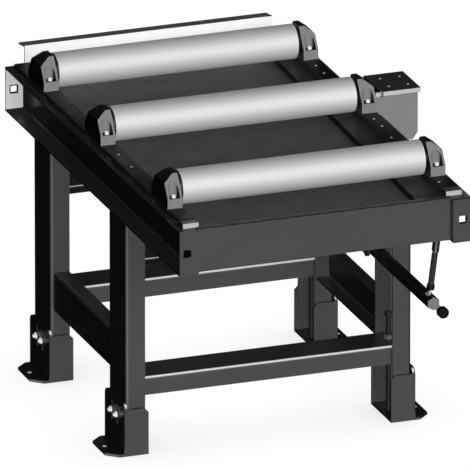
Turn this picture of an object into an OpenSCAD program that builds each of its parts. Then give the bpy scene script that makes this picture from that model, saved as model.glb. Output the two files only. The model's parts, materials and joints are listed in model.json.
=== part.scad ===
// Roller stand: three idle rollers on a welded table with a drip tray,
// four levelling feet, a hand lever with a gas strut, and a side console.
// Millimetres. X runs along the rollers, Y from front to back, Z up.
// The origin lies on the floor, midway between the four anchor holes.

/* [Table] */
// Width over the outer edges of the two side rails
table_w = 690; // [600:5:900]
// Length of the side rails from front to back
rail_l = 1170; // [1060:5:1400]
// Height of the rails' underside above the floor
rail_clear = 553; // [520:1:700]
// Height of a side rail
rail_h = 106; // [96:1:116]
// Width of a side rail's flanges
rail_w = 46; // [44:1:50]
// Thickness of the bent plate of rails, legs and channels
plate_t = 5; // [4:0.5:6]
// Outer radius of the bends in that plate
bend_r = 8; // [7:0.5:10]
// Side of the square hole in each end plate of a rail
end_hole = 19; // [12:1:24]
// Distance of that hole's centre from the rail's outer edge
end_hole_inset = 18; // [15:1:22]

/* [Sheet metal] */
// Thickness of the apron and the rear plate
apron_t = 4; // [3:0.5:5]
// Distance from the rails' front ends back to the apron's face
apron_setback = 7; // [3:1:12]
// Height of the apron's lower edge above the rails' underside
apron_rise = 6; // [2:1:12]
// Height of the apron's top edge above the rails' top
apron_lip = 3; // [1:0.5:3]
// Depth of the apron's folded edges
apron_fold = 8; // [6:1:10]
// Thickness of the drip tray and its ledge
tray_t = 2; // [1.5:0.5:3]
// Depth of the tray's floor below the rails' top
tray_drop = 17; // [12:0.5:22]
// Width of the ledge between the tray and the right rail, at the front
ledge_front_w = 75; // [50:1:140]
// Width of that ledge at the rear
ledge_rear_w = 40; // [30:1:140]
// Depth of the ledge's top below the rails' top
ledge_drop = 2; // [1.5:0.5:4]
// Height of the rear plate's top above the rails' top
rear_plate_rise = 46; // [20:1:60]
// Depth of the flange behind the rear plate's top
rear_flange_w = 39; // [20:1:60]
// Drop of that flange over its depth
rear_flange_drop = 6; // [2:1:12]

/* [Rollers] */
// Outer diameter of a roller
roller_d = 80; // [72:1:82]
// Wall of a roller's tube
roller_wall = 3.5; // [3:0.5:5]
// Gap between a roller's end and the bracket beside it
roller_end_gap = 7; // [7:0.5:12]
// Height of the roller axes above the bracket bars
axle_rise = 31; // [30:1:34]
// Diameter of the fixed axles
axle_d = 20; // [16:1:22]
// Distance of the front roller's axis from the rails' front ends
front_roller_y = 174; // [150:1:190]
// Distance from the front roller to the middle one
front_pitch = 444; // [400:1:480]
// Distance of the rear roller's axis from the rails' rear ends
rear_roller_inset = 170; // [150:1:200]

/* [Roller brackets] */
// Width of the flat bars under the brackets
bar_w = 37; // [36:1:40]
// Thickness of those bars
bar_t = 11; // [8:1:14]
// Distance of a bar's outer edge from the rail's outer edge
bar_inset = 14.4; // [13:0.2:15]
// Width of a bracket along the roller
bracket_w = 35; // [34:1:38]
// Distance of a bracket's outer face from the rail's outer edge
bracket_inset = 15; // [14.2:0.1:15.5]
// Length of a bracket's base
bracket_l = 106; // [100:1:112]
// Height of a bracket
bracket_h = 72; // [68:1:78]
// Length of a bracket's flat top
bracket_top_l = 39; // [34:1:44]
// Height of the upright part of its ends
bracket_shoulder = 24; // [20:1:27]
// Distance from a bracket's ends to the hold-down bolts
bracket_bolt_inset = 10; // [9:1:12]

/* [Frame] */
// Distance between front and rear leg centres
leg_pitch = 506; // [440:1:600]
// Distance from the rails' front ends to the front legs' centre
front_overhang = 425; // [380:1:440]
// Depth of a leg from front to back
leg_d = 117; // [112:1:122]
// Width of a leg
leg_w = 45; // [43:1:47]
// Distance of a leg's outer face from the rail's outer edge
leg_inset = 4; // [3:0.2:7]
// Height of the legs' lower ends above the floor
leg_clear = 41; // [36:1:50]
// Height of the upper cross channels
channel_h = 108; // [90:1:116]
// Width of their flanges
channel_w = 36; // [30:1:44]
// Height of the front and rear stretchers
stretcher_h = 44; // [36:1:50]
// Height of the front stretcher's top above the floor
front_stretcher_z = 179; // [174:1:190]
// Height of the rear stretcher's top above the floor
rear_stretcher_z = 216; // [200:1:230]
// Height of the side stretchers
side_h = 96; // [80:1:110]
// Width of the side stretchers' flanges
side_w = 36; // [28:1:40]
// Height of the side stretchers' underside above the floor
side_z = 167; // [160:1:180]
// Distance of the side stretchers' outer face from the rail's outer edge
side_inset = 10; // [8:1:14]

/* [Feet] */
// Thickness of the plates of a foot
foot_t = 7; // [5:0.5:8]
// Width of a foot across the leg
foot_w = 58; // [56:1:62]
// Height of a foot's front and rear cheeks
foot_cheek_h = 111; // [104:1:118]
// Height of a foot's outer wall
foot_wall_h = 125; // [122:1:138]
// Corner radius of the outer wall's top
foot_wall_r = 17; // [6:1:18]
// Chamfer at the free top corner of a cheek
foot_chamfer = 10; // [6:1:14]
// Thickness of the base plate
base_t = 6; // [5:0.5:8]
// Length of the base plate's tab beyond the outer wall
tab_l = 38; // [36:1:56]
// Width of the tab's outer end
tab_end_w = 82; // [70:1:100]
// Diameter of the anchor hole in the tab
anchor_d = 11; // [9:0.5:13]
// Distance of the anchor hole from the outer wall's face
anchor_inset = 24; // [20:1:28]
// Travel of a foot up or down on its leg
foot_travel = 20; // [10:1:20]
// Height of the clamping bolts above the floor
foot_bolt_z = 86; // [82:1:88]
// Distance between the two clamping bolts
foot_bolt_pitch = 36; // [32:1:46]
// Diameter of the clamping bolts
foot_bolt_d = 8; // [8:1:10]
// Diameter of the levelling screws
screw_d = 12; // [10:1:14]
// Distance of the levelling screws from the rail's outer edge
screw_inset = 37.4; // [36:0.2:39]
// Length of a levelling screw that stands above its stretcher
screw_reach = 64; // [56:1:80]

/* [Console] */
// Length of the console's top along the rail
console_l = 118; // [100:1:140]
// Width of the console's top beyond the rail
console_w = 95; // [85:1:120]
// Height of its top above the rails' underside
console_rise = 160; // [140:1:180]
// Distance from the rails' front ends to the console's middle
console_y = 634; // [600:1:680]
// Distance between its four holes along the rail
console_hole_l = 55.6; // [50:0.2:60]
// Distance between its four holes across the rail
console_hole_w = 46.4; // [40:0.2:50]
// Diameter of those holes
console_hole_d = 7; // [5:0.5:9]

/* [Lever] */
// Width across the flats of the lever's hexagonal bar
hex_af = 27; // [24:1:28]
// Distance of the lever from the right rail's outer edge
lever_inset = 82; // [80:1:86]
// Height of the lever's bar above the floor
lever_z = 409; // [400:1:416]
// Distance from the rails' front ends to the bar's front end
lever_front = 15; // [10:1:24]
// Distance from the rails' front ends to the lever's pivot
lever_pivot_y = 400; // [392:1:406]
// Diameter of the pivot pin
pivot_d = 12; // [10:1:14]
// Height of the strut's lower pin above the middle of the bar
strut_foot_rise = 4; // [3:0.5:5]
// Distance from the rails' front ends to the strut's lower pin
strut_foot_y = 44; // [42:1:46]
// Distance from the rails' front ends to the strut's upper pin
strut_top_y = 23; // [22:1:25]
// Height of the strut's upper pin above the floor
strut_top_z = 575; // [572:1:580]
// Distance of the strut's upper pin to the right of the lever
strut_offset = 12; // [10:1:13]
// Outer diameter of the strut's cylinder
strut_d = 14; // [12:1:15]
// Diameter of the strut's rod
rod_d = 6; // [6:0.5:7]
// Diameter of the round knob beside the bar's end
knob_d = 26; // [22:1:27]
// Length of the knob
knob_l = 18; // [14:1:24]

/* [Hidden] */
$fn = 64;

// Sides and clearances
left = -1;
right = 1;
overrun = 1;
loose_gap = 0.4;
seat_gap = 0.3;
fit_gap = 0.05;
hex_side_ratio = 1 / cos(30);

// Main planes
rail_x = table_w / 2;
web_x = rail_x - rail_w;
bar_gap = 5;
bar_setback = apron_setback + apron_fold + bar_gap;
front_y = -leg_pitch / 2 - front_overhang;
rear_y = front_y + rail_l;
rail_top = rail_clear + rail_h;
bar_top = rail_top + bar_t;
axle_z = bar_top + axle_rise;
front_leg_y = -leg_pitch / 2;
rear_leg_y = leg_pitch / 2;
leg_x = rail_x - leg_inset;
span_w = 2 * (leg_x - bend_r);
stretcher_gap = 5.5;
stretcher_d = leg_d - 2 * (plate_t + stretcher_gap);
end_hole_r = 4;

// Rollers and their inner pieces
roller_ys = [front_y + front_roller_y, front_y + front_roller_y + front_pitch,
    rear_y - rear_roller_inset];
bracket_in_x = rail_x - bracket_inset - bracket_w;
roller_l = 2 * (bracket_in_x - roller_end_gap);
cap_t = 18;
cap_inset = 3;
bearing_w = 14;
bearing_d = 47;
ring_t = 4;
ball_count = 8;
seal_t = 1;
axle_grip = 26;
boss_d = 30;
boss_gap = 1;

// Brackets, their bolts and the strips between them
bracket_chamfer_x = 22.5;
bracket_chamfer_z = 17.5;
bracket_bolt_y = bracket_l / 2 - bracket_bolt_inset;
pocket_d = 25;
pocket_floor = 23;
bracket_bolt_d = 6;
bracket_bolt_head_d = 10;
bracket_bolt_head = 6;
socket_af = 5;
socket_depth = 3;
bracket_bolt_grip = pocket_floor + bar_t;
strip_margin = 0.5;
strip_w = bar_w - 2 * strip_margin;
strip_t = 1.5;
strip_gap = 3;
strip_front_gap = 24;
strip_hole_d = 7;
// Holes in each strip: share of its length from its front end, share of the bar's width inwards
right_hole_shares = [[[0.5, 0.32]], [[0.49, 0.27], [0.73, 0.1], [0.88, 0.1]],
    [[0.65, 0.1], [0.85, 0.1]], [[0.5, 0.1]]];
left_hole_shares = [[], [[0.54, 0], [0.8, 0]], [], []];

// Feet, bolts and screws
foot_x = leg_x + loose_gap + foot_t;
foot_in_x = foot_x - foot_w;
foot_d = leg_d + 2 * (loose_gap + foot_t);
anchor_x = foot_x + anchor_inset;
tab_step = 12;
foot_bolt_af = 13;
foot_bolt_head = 5.3;
foot_bolt_tip = 4;
foot_washer_d = 16;
foot_washer_t = 1.6;
foot_nut_t = 5;
slot_margin = 1;
screw_x = rail_x - screw_inset;
screw_af = 19;
screw_head = 8;
nut_t = 10;

// Console
console_t = 5;
console_fold = 10;
console_foot = 36;
console_chamfer = 17;
notch_l = 7;
notch_w = 6;
notch_lap = 2;
console_flange = min(bar_inset, bracket_inset) - loose_gap;

// Lever, strut and knob
lever_x = rail_x - lever_inset;
lever_tail = 22;
pivot_y = front_y + lever_pivot_y;
hanger_t = 6;
hanger_gap = 1;
hanger_r = 16;
hanger_top_l = 60;
strut_foot = [lever_x, front_y + strut_foot_y, lever_z + strut_foot_rise];
strut_top = [lever_x + strut_offset, front_y + strut_top_y, strut_top_z];
strut_run = strut_top - strut_foot;
strut_l = norm(strut_run);
strut_tilt = atan2(-strut_run[1], strut_run[2]);
strut_lean = asin(strut_offset / strut_l);
strut_pin_d = 6;
strut_eye_r = 6;
strut_eye_t = 5;
strut_neck_d = 5;
strut_neck_top = 4;
strut_head = 50;
strut_wall = 1.4;
rod_show = 22.8;
strut_body_l = strut_l - rod_show;
collar_l = 11;
collar_d = 18;
piston_l = 10;
rod_in = 72;
cheek_gap = 0.8;
cheek_t = 3;
cheek_r = 7;
cheek_l = 47;
rod_eye_r = 7;
eye_slack = 1.5;
slot_gap = 1;
slot_left = 6.2;
slot_right = 5;
knob_off_x = 19.5;
knob_off_z = 20.5;
knob_arm_t = 6;
knob_arm_setback = 3;
knob_arm_r = 7;
knob_stud_d = 8;
knob_round = 4;
knob_groove_d = 5;
knob_groove_count = 8;

// A piece modelled on the right side, mirrored for the left
module on_side(side) {
    if (side > 0) children();
    else mirror([1, 0, 0]) children();
}

// A rectangle whose two corners on its left edge are round
module round_left(w, h, r) {
    translate([r, 0]) square([w - r, h]);
    translate([0, r]) square([r, h - 2 * r]);
    translate([r, r]) circle(r);
    translate([r, h - r]) circle(r);
}

// Section of a bent channel: its web lies on the left edge
module channel_section(h, w) {
    difference() {
        round_left(w, h, bend_r);
        translate([plate_t, plate_t]) round_left(w, h - 2 * plate_t, bend_r - plate_t);
    }
}

// A square with rounded corners around the origin
module soft_square(side, r) {
    square([side, side - 2 * r], center = true);
    square([side - 2 * r, side], center = true);
    for (x = [r - side / 2, side / 2 - r]) for (y = [r - side / 2, side / 2 - r])
        translate([x, y]) circle(r);
}

module side_rail(side) {
    color([0.12, 0.12, 0.12]) on_side(side) difference() {
        translate([web_x, rear_y, rail_clear]) rotate([90, 0, 0]) union() {
            linear_extrude(rail_l) channel_section(rail_h, rail_w);
            linear_extrude(plate_t) round_left(rail_w, rail_h, bend_r);
            translate([0, 0, rail_l - plate_t]) linear_extrude(plate_t)
                round_left(rail_w, rail_h, bend_r);
        }
        translate([rail_x - end_hole_inset, rear_y + overrun, rail_clear + rail_h / 2])
            rotate([90, 0, 0]) linear_extrude(rail_l + 2 * overrun)
                soft_square(end_hole, end_hole_r);
    }
}

module apron() {
    low = rail_clear + apron_rise;
    high = rail_top + apron_lip;
    face = front_y + apron_setback;
    color([0.3, 0.3, 0.3]) translate([-web_x, 0, 0]) {
        translate([0, face, low]) cube([2 * web_x, apron_t, high - low]);
        translate([0, face, low]) cube([2 * web_x, apron_fold, apron_t]);
        translate([0, face, high - apron_t]) cube([2 * web_x, apron_fold, apron_t]);
    }
}

tray_front = front_y + apron_setback + apron_fold;
tray_rear = rear_y - apron_t;
tray_floor = rail_top - tray_drop;
ledge_top = rail_top - ledge_drop;

// Left edge of the ledge, at the front and at the rear
ledge_edge = [[web_x - ledge_front_w, tray_front], [web_x - ledge_rear_w, tray_rear]];

module drip_tray() {
    color([0.23, 0.22, 0.21]) {
        translate([0, 0, tray_floor - tray_t]) linear_extrude(tray_t)
            polygon([[-web_x, tray_front], ledge_edge[0] + [tray_t, 0], ledge_edge[1] + [tray_t, 0],
                [-web_x, tray_rear]]);
        translate([0, 0, tray_floor - tray_t]) linear_extrude(ledge_top - tray_floor)
            polygon([ledge_edge[0], ledge_edge[0] + [tray_t, 0], ledge_edge[1] + [tray_t, 0],
                ledge_edge[1]]);
    }
}

module tray_ledge() {
    color([0.13, 0.12, 0.11]) translate([0, 0, ledge_top - tray_t]) linear_extrude(tray_t)
        polygon([ledge_edge[0], [web_x, tray_front], [web_x, tray_rear], ledge_edge[1]]);
}

module rear_plate() {
    low = rail_clear + apron_rise;
    high = rail_top + rear_plate_rise;
    color([0.9, 0.9, 0.9]) translate([-web_x, 0, 0]) rotate([90, 0, 90])
        linear_extrude(2 * web_x)
            polygon([[tray_rear, low], [rear_y, low], [rear_y, high - apron_t],
                [rear_y + rear_flange_w, high - apron_t - rear_flange_drop],
                [rear_y + rear_flange_w, high - rear_flange_drop],
                [rear_y, high], [tray_rear, high]]);
}

// Ends of the cover strips along the bars, between the brackets
strip_starts = [front_y + bar_setback + strip_front_gap,
    for (y = roller_ys) y + bracket_l / 2 + strip_gap];
strip_ends = [for (y = roller_ys) y - bracket_l / 2 - strip_gap,
    rear_y - bar_setback - strip_gap];
bar_mid_x = rail_x - bar_inset - bar_w / 2;
function hole_places(shares) = [for (i = [0 : len(strip_starts) - 1]) for (share = shares[i])
    [bar_mid_x - share[1] * bar_w, strip_starts[i] + share[0] * (strip_ends[i] - strip_starts[i])]];
left_holes = hole_places(left_hole_shares);
right_holes = hole_places(right_hole_shares);
bracket_mid_x = bracket_in_x + bracket_w / 2;

module bracket_bar(side, places) {
    color([0.25, 0.25, 0.25]) on_side(side) difference() {
        translate([bar_mid_x - bar_w / 2, front_y + bar_setback, rail_top])
            cube([bar_w, rail_l - 2 * bar_setback, bar_t]);
        for (place = places)
            translate([place[0], place[1], rail_top - overrun])
                cylinder(h = bar_t + 2 * overrun, d = strip_hole_d);
        for (y = roller_ys) for (end = [-1, 1])
            translate([bracket_mid_x, y + end * bracket_bolt_y, rail_top - overrun])
                cylinder(h = bar_t + 2 * overrun, d = bracket_bolt_d + 2 * fit_gap);
    }
}

module cover_strips(side, places) {
    color([0.11, 0.11, 0.11]) on_side(side) difference() {
        for (i = [0 : len(strip_starts) - 1])
            translate([bar_mid_x - strip_w / 2, strip_starts[i], bar_top])
                cube([strip_w, strip_ends[i] - strip_starts[i], strip_t]);
        for (place = places)
            translate([place[0], place[1], bar_top - overrun])
                cylinder(h = strip_t + 2 * overrun, d = strip_hole_d);
    }
}

// A ring whose axis runs along X, from x to x + l
module x_ring(x, l, outer_d, inner_d) {
    translate([x, 0, 0]) rotate([0, 90, 0]) difference() {
        cylinder(h = l, d = outer_d);
        translate([0, 0, -overrun]) cylinder(h = l + 2 * overrun, d = inner_d);
    }
}

module roller_tube(y) {
    color([0.9, 0.9, 0.9]) translate([0, y, axle_z])
        x_ring(-roller_l / 2, roller_l, roller_d, roller_d - 2 * roller_wall);
}

module roller_caps(y) {
    cap_d = roller_d - 2 * roller_wall;
    cap_x = roller_l / 2 - cap_inset - cap_t;
    color([0.7, 0.7, 0.7]) translate([0, y, axle_z])
        for (side = [left, right]) on_side(side) {
            x_ring(cap_x, cap_t - bearing_w, cap_d, bearing_d - 2 * ring_t);
            x_ring(cap_x + cap_t - bearing_w, bearing_w, cap_d, bearing_d);
        }
}

module roller_bearings(y) {
    x = roller_l / 2 - cap_inset - bearing_w;
    bore_d = axle_d + 2 * fit_gap;
    inner_d = bore_d + 2 * ring_t;
    outer_d = bearing_d - 2 * ring_t;
    ball_pitch_d = (inner_d + outer_d) / 2;
    ball_d = (outer_d - inner_d) / 2 - 2 * fit_gap;
    color([0.8, 0.8, 0.8]) translate([0, y, axle_z])
        for (side = [left, right]) on_side(side) {
            x_ring(x, bearing_w, inner_d, bore_d);
            x_ring(x, bearing_w, bearing_d, outer_d);
            for (face = [x, x + bearing_w - seal_t])
                x_ring(face, seal_t, outer_d, inner_d + 2 * fit_gap);
            for (i = [0 : ball_count - 1])
                rotate([i * 360 / ball_count, 0, 0])
                    translate([x + bearing_w / 2, ball_pitch_d / 2, 0]) sphere(d = ball_d);
        }
}

module roller_axle(y) {
    l = 2 * (bracket_in_x + axle_grip - seat_gap);
    color([0.75, 0.75, 0.75]) translate([-l / 2, y, axle_z]) rotate([0, 90, 0])
        cylinder(h = l, d = axle_d);
}

module bracket(side, y) {
    boss_l = roller_end_gap + cap_inset - boss_gap;
    color([0.2, 0.2, 0.2]) on_side(side) translate([bracket_in_x, y, bar_top])
        difference() {
            union() {
                rotate([90, 0, 90]) linear_extrude(bracket_w)
                    polygon([[-bracket_l / 2, 0], [bracket_l / 2, 0],
                        [bracket_l / 2, bracket_shoulder], [bracket_top_l / 2, bracket_h],
                        [-bracket_top_l / 2, bracket_h], [-bracket_l / 2, bracket_shoulder]]);
                translate([-boss_l, 0, axle_rise]) rotate([0, 90, 0])
                    cylinder(h = boss_l + overrun, d = boss_d);
            }
            translate([-boss_l - overrun, 0, axle_rise]) rotate([0, 90, 0])
                cylinder(h = boss_l + overrun + axle_grip, d = axle_d + 2 * fit_gap);
            translate([0, bracket_l / 2, 0]) rotate([90, 0, 0]) linear_extrude(bracket_l)
                polygon([[bracket_w - bracket_chamfer_x, bracket_h],
                    [bracket_w, bracket_h - bracket_chamfer_z], [bracket_w, bracket_h]]);
            for (end = [-1, 1]) translate([bracket_w / 2, end * bracket_bolt_y, 0]) {
                translate([0, 0, pocket_floor]) cylinder(h = bracket_h, d = pocket_d);
                translate([-pocket_d / 2, (end - 1) * bracket_l / 4, pocket_floor])
                    cube([pocket_d, bracket_l / 2, bracket_h]);
                translate([0, 0, -overrun])
                    cylinder(h = bracket_h, d = bracket_bolt_d + 2 * seat_gap);
            }
        }
}

// A hexagonal prism that stands on the plane z = 0
module hex_prism(h, af) {
    cylinder(h = h, d = af * hex_side_ratio, $fn = 6);
}

module bracket_bolts() {
    color([0.92, 0.92, 0.92])
        for (side = [left, right]) for (y = roller_ys) for (end = [-1, 1])
            on_side(side)
                translate([bracket_mid_x, y + end * bracket_bolt_y, bar_top + pocket_floor]) {
                    translate([0, 0, -bracket_bolt_grip])
                        cylinder(h = bracket_bolt_grip + overrun, d = bracket_bolt_d);
                    difference() {
                        cylinder(h = bracket_bolt_head, d = bracket_bolt_head_d);
                        translate([0, 0, bracket_bolt_head - socket_depth])
                            hex_prism(socket_depth + overrun, socket_af);
                    }
                }
}

module leg(side, y) {
    color([0.28, 0.28, 0.28]) on_side(side) difference() {
        translate([leg_x, y + leg_d / 2, leg_clear]) rotate([0, 0, 180])
            linear_extrude(rail_clear - leg_clear) channel_section(leg_d, leg_w);
        for (end = [-1, 1])
            translate([leg_x - 2 * plate_t, y + end * foot_bolt_pitch / 2, foot_bolt_z])
                rotate([0, 90, 0])
                    cylinder(h = 3 * plate_t, d = foot_bolt_d + 2 * seat_gap);
    }
}

module upper_channel(y) {
    back_y = y - leg_d / 2 + plate_t + channel_w;
    color([0.28, 0.28, 0.28])
        translate([-span_w / 2, back_y, rail_clear - channel_h]) mirror([0, 1, 0])
            rotate([90, 0, 90]) linear_extrude(span_w)
                channel_section(channel_h, channel_w);
}

module cross_stretcher(y, top_z) {
    color([0.28, 0.28, 0.28]) difference() {
        translate([-span_w / 2, y - stretcher_d / 2, top_z]) rotate([0, 90, 0])
            linear_extrude(span_w) channel_section(stretcher_d, stretcher_h);
        for (side = [left, right])
            translate([side * screw_x, y, top_z - 2 * plate_t])
                cylinder(h = 3 * plate_t, d = screw_d + 4 * seat_gap);
    }
}

module side_stretcher(side) {
    start_y = front_leg_y + leg_d / 2;
    end_y = rear_leg_y - leg_d / 2;
    color([0.28, 0.28, 0.28]) on_side(side)
        translate([rail_x - side_inset, end_y, side_z]) mirror([1, 0, 0])
            rotate([90, 0, 0]) linear_extrude(end_y - start_y)
                channel_section(side_h, side_w);
}

module foot_wall() {
    square([foot_d, foot_wall_h - foot_wall_r]);
    translate([foot_wall_r, 0]) square([foot_d - 2 * foot_wall_r, foot_wall_h]);
    for (y = [foot_wall_r, foot_d - foot_wall_r])
        translate([y, foot_wall_h - foot_wall_r]) circle(foot_wall_r);
}

module foot(side, y) {
    slot_w = foot_bolt_d + 2 * slot_margin;
    wall_in_x = foot_x - foot_t;
    color([0.3, 0.3, 0.3]) on_side(side) translate([0, y, 0]) difference() {
        union() {
            linear_extrude(base_t)
                polygon([[foot_in_x, -foot_d / 2], [foot_x + tab_step, -foot_d / 2],
                    [foot_x + tab_l, -tab_end_w / 2], [foot_x + tab_l, tab_end_w / 2],
                    [foot_x + tab_step, foot_d / 2], [foot_in_x, foot_d / 2]]);
            translate([wall_in_x, -foot_d / 2, 0]) rotate([90, 0, 90])
                linear_extrude(foot_t) foot_wall();
            for (cheek_y = [foot_t - foot_d / 2, foot_d / 2])
                translate([0, cheek_y, 0]) rotate([90, 0, 0]) linear_extrude(foot_t)
                    polygon([[foot_in_x, 0], [foot_x, 0], [foot_x, foot_cheek_h],
                        [foot_in_x + foot_chamfer, foot_cheek_h],
                        [foot_in_x, foot_cheek_h - foot_chamfer]]);
        }
        translate([anchor_x, 0, -overrun]) cylinder(h = base_t + 2 * overrun, d = anchor_d);
        for (end = [-1, 1])
            translate([wall_in_x - overrun, end * foot_bolt_pitch / 2, foot_bolt_z])
                rotate([90, 0, 90]) linear_extrude(foot_t + 2 * overrun) {
                    square([slot_w, 2 * foot_travel], center = true);
                    for (z = [-foot_travel, foot_travel]) translate([0, z]) circle(d = slot_w);
                }
    }
}

module levelling_screw(side, y, stretcher_z) {
    top_z = stretcher_z + screw_reach;
    color([0.15, 0.15, 0.15]) translate([side * screw_x, y, 0]) {
        translate([0, 0, base_t + seat_gap])
            cylinder(h = top_z - base_t - seat_gap, d = screw_d);
        translate([0, 0, top_z - screw_head]) hex_prism(screw_head, screw_af);
    }
}

module levelling_nuts() {
    color([0.75, 0.75, 0.75]) for (side = [left, right])
        for (place = [[front_leg_y, front_stretcher_z], [rear_leg_y, rear_stretcher_z]])
            translate([side * screw_x, place[0], place[1]]) difference() {
                hex_prism(nut_t, screw_af);
                translate([0, 0, -overrun])
                    cylinder(h = nut_t + 2 * overrun, d = screw_d + 2 * seat_gap);
            }
}

module foot_bolts() {
    washer_x = foot_x + seat_gap;
    head_x = leg_x - plate_t - foot_bolt_head;
    nut_x = washer_x + foot_washer_t;
    color([0.92, 0.92, 0.92]) for (side = [left, right]) on_side(side)
        for (y = [front_leg_y, rear_leg_y]) for (end = [-1, 1])
            translate([0, y + end * foot_bolt_pitch / 2, foot_bolt_z]) rotate([0, 90, 0]) {
                translate([0, 0, washer_x]) cylinder(h = foot_washer_t, d = foot_washer_d);
                translate([0, 0, nut_x]) hex_prism(foot_nut_t, foot_bolt_af);
                translate([0, 0, head_x])
                    cylinder(h = nut_x + foot_nut_t + foot_bolt_tip - head_x, d = foot_bolt_d);
                translate([0, 0, head_x]) hex_prism(foot_bolt_head, foot_bolt_af);
            }
}

module console() {
    top_z = rail_clear + console_rise;
    mid_y = front_y + console_y;
    mid_x = rail_x + console_w / 2 + console_t;
    gusset_z = top_z - console_rise + console_foot;
    color([0.3, 0.3, 0.3]) translate([0, mid_y, 0]) difference() {
        union() {
            translate([rail_x, -console_l / 2, top_z - console_t])
                cube([console_w, console_l, console_t]);
            translate([rail_x, -console_l / 2, rail_clear])
                cube([console_t, console_l, console_rise]);
            translate([rail_x - console_flange, -console_l / 2, rail_top])
                cube([console_flange + console_t, console_t, top_z - rail_top]);
            translate([rail_x, -console_l / 2, top_z - console_fold])
                cube([console_w, console_t, console_fold]);
            translate([rail_x, console_t + notch_w - console_l / 2, 0]) rotate([90, 0, 0])
                linear_extrude(console_t)
                    polygon([[0, gusset_z], [console_w - console_chamfer, gusset_z],
                        [console_w - console_t, gusset_z + console_chamfer],
                        [console_w - console_t, top_z - console_t], [0, top_z - console_t]]);
        }
        for (dx = [-1, 1]) for (dy = [-1, 1])
            translate([mid_x + dx * console_hole_w / 2, dy * console_hole_l / 2,
                top_z - console_t - overrun])
                cylinder(h = console_t + 2 * overrun, d = console_hole_d);
        translate([rail_x - notch_lap, -console_l / 2 - overrun, top_z - console_fold - overrun])
            cube([notch_l, notch_w + overrun, console_fold + 2 * overrun]);
    }
}

module lever_bar() {
    bar_l = lever_pivot_y - lever_front + lever_tail;
    slot_r = rod_eye_r + eye_slack + slot_gap;
    color([0.16, 0.16, 0.16]) translate([lever_x, 0, 0]) {
        difference() {
            translate([0, pivot_y + lever_tail, lever_z]) rotate([90, 30, 0])
                hex_prism(bar_l, hex_af);
            translate([-hex_af, pivot_y, lever_z]) rotate([0, 90, 0])
                cylinder(h = 2 * hex_af, d = pivot_d + 2 * fit_gap);
            translate([-slot_left, strut_foot[1] - slot_r, strut_foot[2] - slot_r])
                cube([slot_left + slot_right, 2 * slot_r, 2 * hex_af]);
        }
        translate([-slot_left - overrun, strut_foot[1], strut_foot[2]]) rotate([0, 90, 0])
            cylinder(h = slot_left + slot_right + 2 * overrun, d = strut_pin_d);
    }
}

module lever_hanger() {
    ear_x = hex_af / 2 + hanger_gap;
    hang_z = rail_clear - channel_h;
    color([0.2, 0.2, 0.2]) translate([lever_x, pivot_y, 0]) {
        translate([-ear_x - hanger_t, -hanger_top_l / 2, hang_z - hanger_t])
            cube([2 * (ear_x + hanger_t), hanger_top_l, hanger_t]);
        for (side = [left, right]) on_side(side) difference() {
            union() {
                translate([ear_x, -hanger_r, lever_z])
                    cube([hanger_t, 2 * hanger_r, hang_z - lever_z]);
                translate([ear_x, 0, lever_z]) rotate([0, 90, 0])
                    cylinder(h = hanger_t, r = hanger_r);
            }
            translate([ear_x - overrun, 0, lever_z]) rotate([0, 90, 0])
                cylinder(h = hanger_t + 2 * overrun, d = pivot_d + 2 * fit_gap);
        }
    }
}

module lever_pin() {
    half_l = hex_af / 2 + hanger_gap + 2 * hanger_t;
    color([0.7, 0.7, 0.7]) translate([lever_x - half_l, pivot_y, lever_z])
        rotate([0, 90, 0]) cylinder(h = 2 * half_l, d = pivot_d);
}

// Places a piece at the strut's upper pin, turned as the strut is about that pin
module at_upper_pin() {
    translate(strut_top) rotate([strut_tilt, 0, 0]) children();
}

// Places a piece drawn downwards from the strut's upper pin along its axis
module along_strut() {
    at_upper_pin() rotate([0, strut_lean, 0]) children();
}

module strut_cylinder() {
    body_l = strut_body_l - strut_head;
    color([0.16, 0.16, 0.16]) difference() {
        union() {
            along_strut() {
                translate([0, 0, -strut_body_l + collar_l])
                    cylinder(h = body_l - collar_l, d = strut_d);
                translate([0, 0, -strut_body_l]) cylinder(h = collar_l, d = collar_d);
                translate([0, 0, -strut_head - overrun])
                    cylinder(h = strut_head + overrun - strut_neck_top, d = strut_neck_d);
            }
            at_upper_pin() translate([-strut_eye_t / 2, 0, 0]) rotate([0, 90, 0])
                cylinder(h = strut_eye_t, r = strut_eye_r);
        }
        along_strut() {
            translate([0, 0, -strut_body_l + collar_l])
                cylinder(h = body_l - collar_l - strut_eye_t, d = strut_d - 2 * strut_wall);
            translate([0, 0, -strut_body_l - overrun])
                cylinder(h = collar_l + 2 * overrun, d = rod_d + 2 * fit_gap);
        }
        at_upper_pin() translate([-strut_d, 0, 0]) rotate([0, 90, 0])
            cylinder(h = 2 * strut_d, d = strut_pin_d + 2 * fit_gap);
    }
}

module strut_rod() {
    piston_d = strut_d - 2 * strut_wall - 2 * fit_gap;
    color([0.85, 0.85, 0.85]) difference() {
        union() {
            along_strut() {
                translate([0, 0, -strut_l]) cylinder(h = strut_l - rod_in, d = rod_d);
                translate([0, 0, -rod_in - piston_l]) cylinder(h = piston_l, d = piston_d);
            }
            translate(strut_foot - [strut_eye_t / 2, 0, 0]) rotate([0, 90, 0])
                cylinder(h = strut_eye_t, r = rod_eye_r);
        }
        translate(strut_foot - [strut_d, 0, 0]) rotate([0, 90, 0])
            cylinder(h = 2 * strut_d, d = strut_pin_d + 2 * eye_slack);
    }
}

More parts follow.
